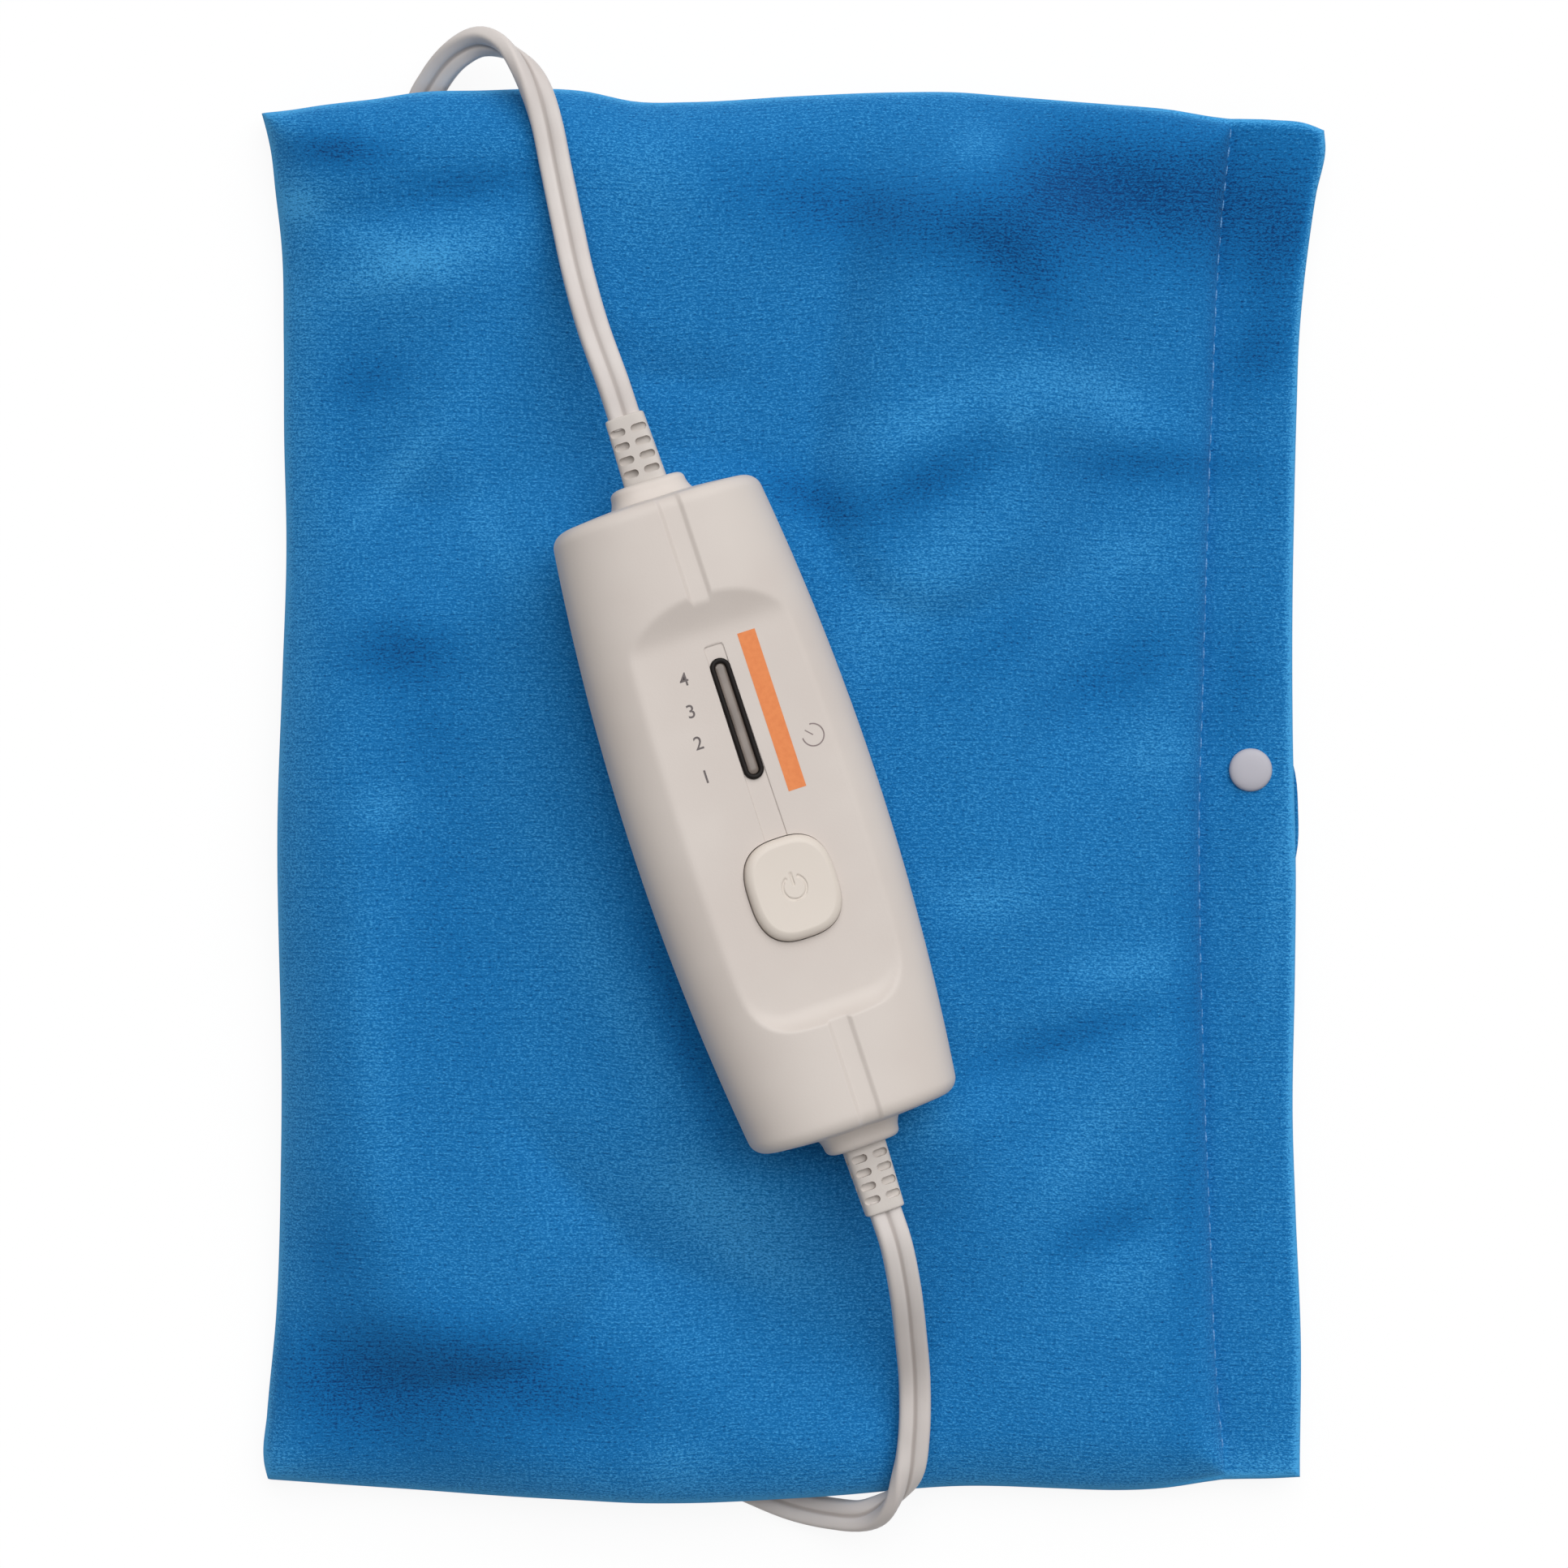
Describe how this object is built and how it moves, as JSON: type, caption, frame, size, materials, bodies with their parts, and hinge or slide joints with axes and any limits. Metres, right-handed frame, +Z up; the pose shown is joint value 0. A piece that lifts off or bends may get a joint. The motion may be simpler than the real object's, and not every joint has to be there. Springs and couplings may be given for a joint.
{
  "type": "heating pad",
  "caption": "Soft fabric-covered electric heating pad with a hand control lying on it, its flat leads and its mains plug tucked under the pad.",
  "frame": {"origin": "on the resting surface, under the middle of the pad's cover", "axes": "+X across the pad towards the open hem, +Y along the pad towards the end where the pad's lead goes under, +Z up out of the resting surface"},
  "size_m": [0.236, 0.3343, 0.0553],
  "materials": {
    "cover_cloth": "brushed knit",
    "pad_skin": "satin",
    "felt": "matte",
    "heating_wire": "satin",
    "black_plastic": "satin",
    "snap": "gloss",
    "case": "satin",
    "button": "satin",
    "cord": "satin",
    "window_rim": "gloss",
    "window_lens": "gloss",
    "milky_plastic": "satin",
    "board": "satin",
    "capacitor": "satin",
    "metal": "bright"
  },
  "bodies": {
    "pad": {"cover_back": "cover_cloth", "skin_back": "pad_skin", "felt_back": "felt", "felt_front": "felt", "skin_front": "pad_skin", "cover_front": "cover_cloth", "heating_wire": "heating_wire", "thermostat_1": "black_plastic", "thermostat_2": "black_plastic", "rear_hem": "cover_cloth", "snap_stud": "snap", "snap_stud_cap": "snap", "pad_inlet": "cord", "top_shell": "case", "bottom_shell": "case", "case_screw_1": "metal", "case_screw_2": "metal", "case_screw_3": "metal", "case_screw_4": "metal", "window_rim": "window_rim", "window_lens": "window_lens", "light_guide": "milky_plastic", "circuit_board": "board", "led_1": "milky_plastic", "led_2": "milky_plastic", "led_3": "milky_plastic", "led_4": "milky_plastic", "tact_switch": "black_plastic", "control_chip": "black_plastic", "triac": "black_plastic", "capacitor": "capacitor", "fuse": "window_lens", "relief_pad": "cord", "lead_tail_pad": "cord", "relief_mains": "cord", "lead_tail_mains": "cord", "pad_lead": "cord", "mains_lead": "cord", "mains_coil": "cord", "mains_tail": "cord", "coil_tie": "black_plastic", "plug_body": "cord", "plug_blade_1": "metal", "plug_blade_2": "metal"},
    "button": {"power_button": "button", "tact_plunger": "milky_plastic"},
    "hem": {"front_hem": "cover_cloth", "snap_cap": "snap", "snap_socket": "snap"}
  },
  "joints": [
    {"name": "power_button_press", "type": "slide", "parent": "pad", "child": "button", "axis": [-0.2185, -0.0718, -0.9732], "range_m": [0, 0.001], "stiffness_N_per_m": 1500, "springref_m": -0.0006},
    {"name": "front_hem_hinge", "type": "hinge", "parent": "pad", "child": "hem", "pos_m": [0.0915, 0, 0.008], "axis": [0, -1, 0], "range_deg": [0, 75]}
  ]
}
